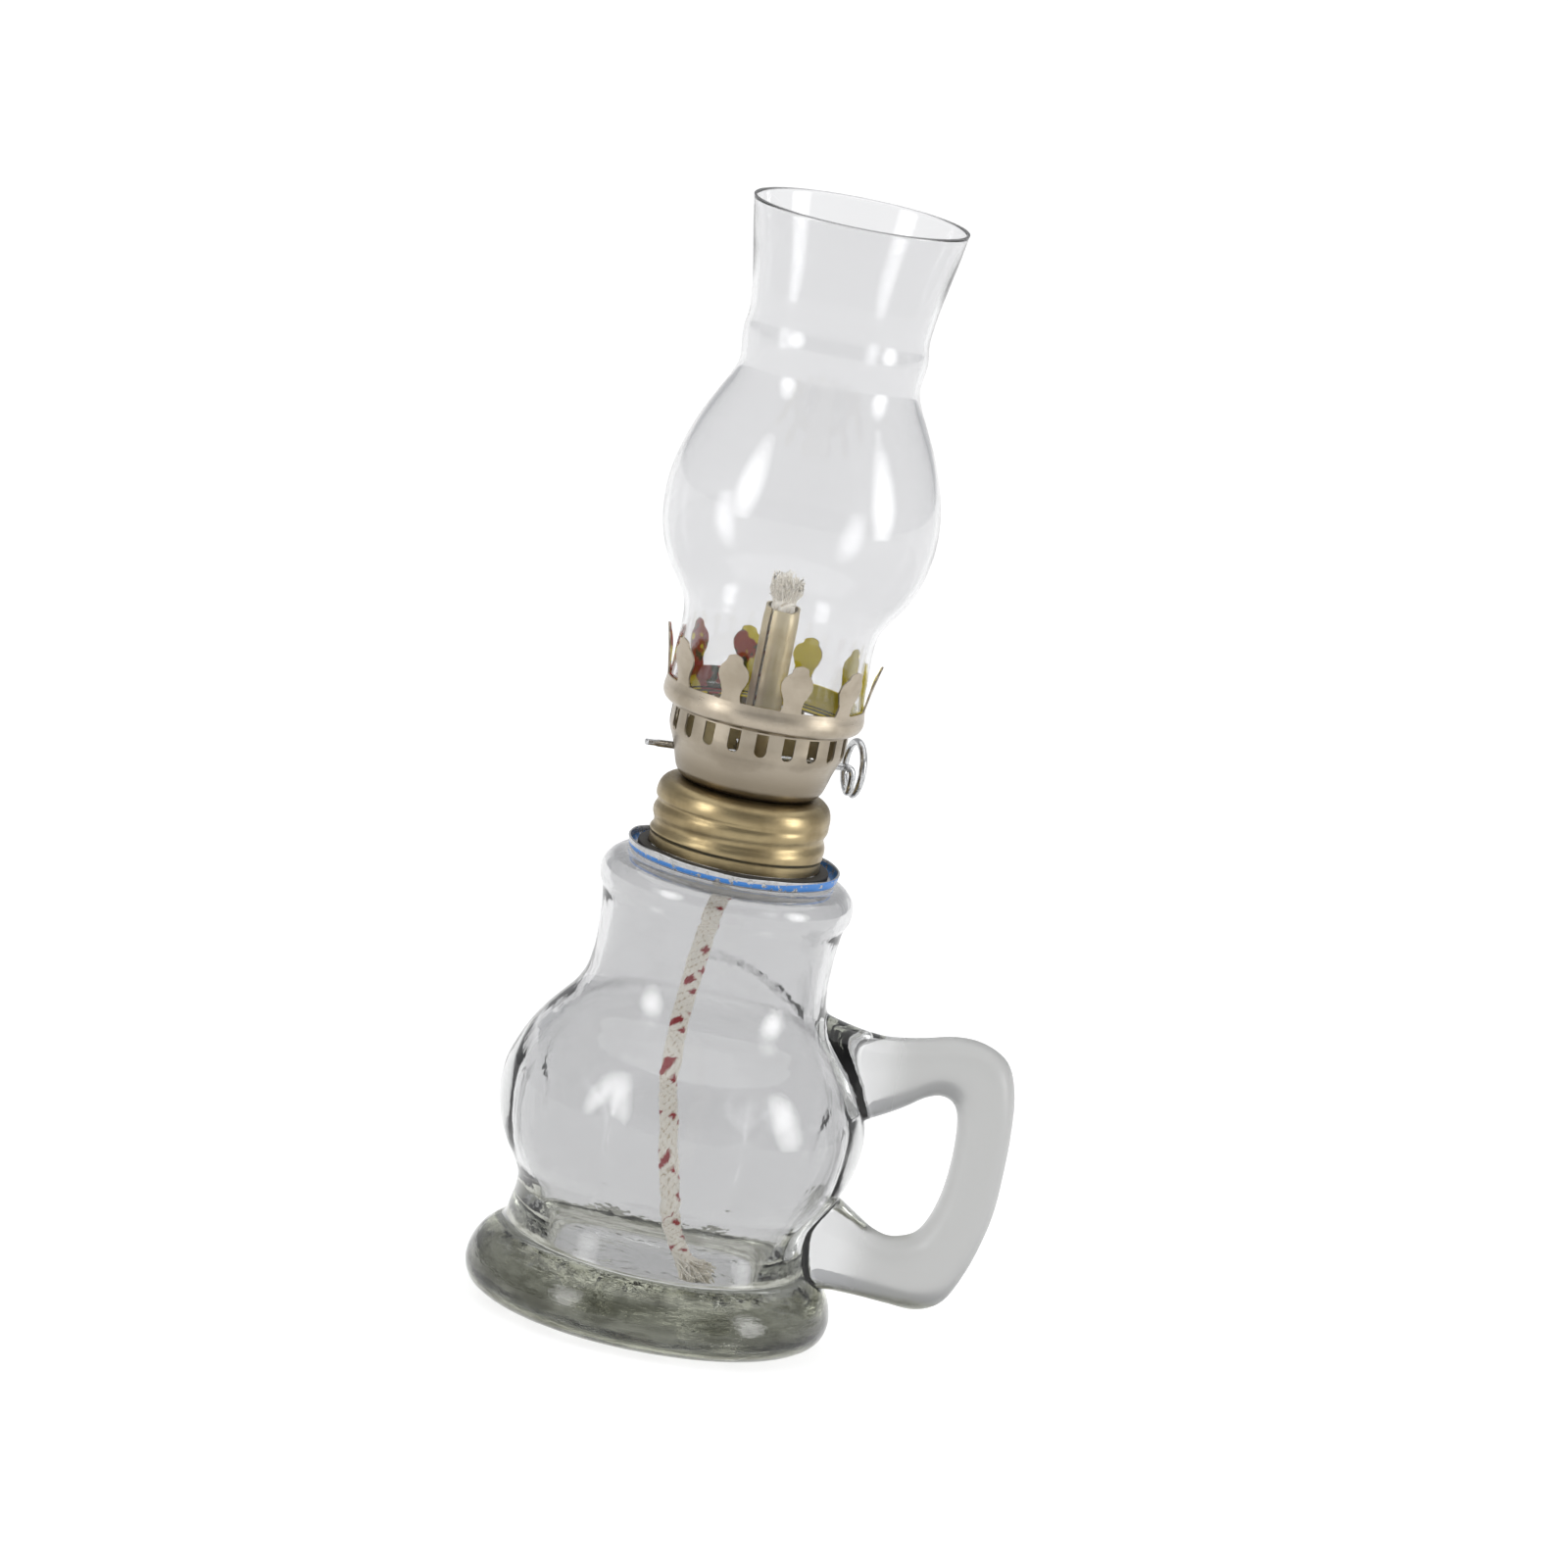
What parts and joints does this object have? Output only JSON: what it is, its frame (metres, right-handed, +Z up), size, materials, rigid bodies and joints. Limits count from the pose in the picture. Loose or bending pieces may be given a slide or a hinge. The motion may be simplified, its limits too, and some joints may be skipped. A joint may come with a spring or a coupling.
{
  "type": "oil lamp",
  "caption": "Small kerosene lamp: lobed glass font with a finger handle, screw-on wick burner with a wire knob, and a glass chimney in a pronged crown.",
  "frame": {"origin": "centre of the foot's flat underside, on the axis of the lamp", "axes": "+Z up along the lamp's axis, +X towards the handle"},
  "size_m": [0.0945, 0.068, 0.2099],
  "materials": {
    "font_glass": "clear pressed glass, thick and slightly grey-green",
    "chimney_glass": "clear thin blown glass",
    "cap_brass": "satin pale brass",
    "burner_metal": "satin nickel-toned brass sheet",
    "crown_tin": "satin champagne sheet, lacquered inside",
    "tinplate": "bright tinplate with worn lacquer",
    "steel_wire": "bright drawn steel",
    "gasket_rubber": "matt black rubber",
    "cotton": "braided cotton with a few red threads"
  },
  "bodies": {
    "font": {"glass_font": "font_glass"},
    "collar": {"drip_ring": "tinplate", "cap_gasket": "gasket_rubber"},
    "burner": {"screw_cap": "cap_brass", "burner_cup": "burner_metal", "tube_plate": "burner_metal", "chimney_crown": "crown_tin", "wick_tube": "burner_metal"},
    "knob": {"knob_spindle": "steel_wire", "wick_wheel_left": "steel_wire", "wick_wheel_right": "steel_wire"},
    "wick": {"wick": "cotton", "wick_tail": "cotton"},
    "chimney": {"glass_chimney": "chimney_glass"}
  },
  "joints": [
    {"name": "burner_turn", "type": "hinge", "parent": "font", "child": "collar", "pos_m": [0, 0, 0.0864], "axis": [0, 0, 1], "range_deg": [0, 540]},
    {"name": "burner_rise", "type": "slide", "parent": "collar", "child": "burner", "axis": [0, 0, 1], "range_m": [0, 0.0064]},
    {"name": "knob_turn", "type": "hinge", "parent": "burner", "child": "knob", "pos_m": [-0.00192, 0.00526, 0.10625], "axis": [-0.9397, -0.342, 0], "range_deg": [-135, 195]},
    {"name": "wick_raise", "type": "slide", "parent": "burner", "child": "wick", "axis": [0, 0, 1], "range_m": [-0.0067, 0.0097], "deforming": ["wick_tail"]},
    {"name": "chimney_lift", "type": "slide", "parent": "burner", "child": "chimney", "axis": [0, 0, 1], "range_m": [0, 0.034]}
  ],
  "couplings": [
    {"joint": "burner_rise", "follows": "burner_turn", "m_per_rad": 0.00066845},
    {"joint": "knob_turn", "follows": "wick_raise", "rad_per_m": 344.83}
  ]
}
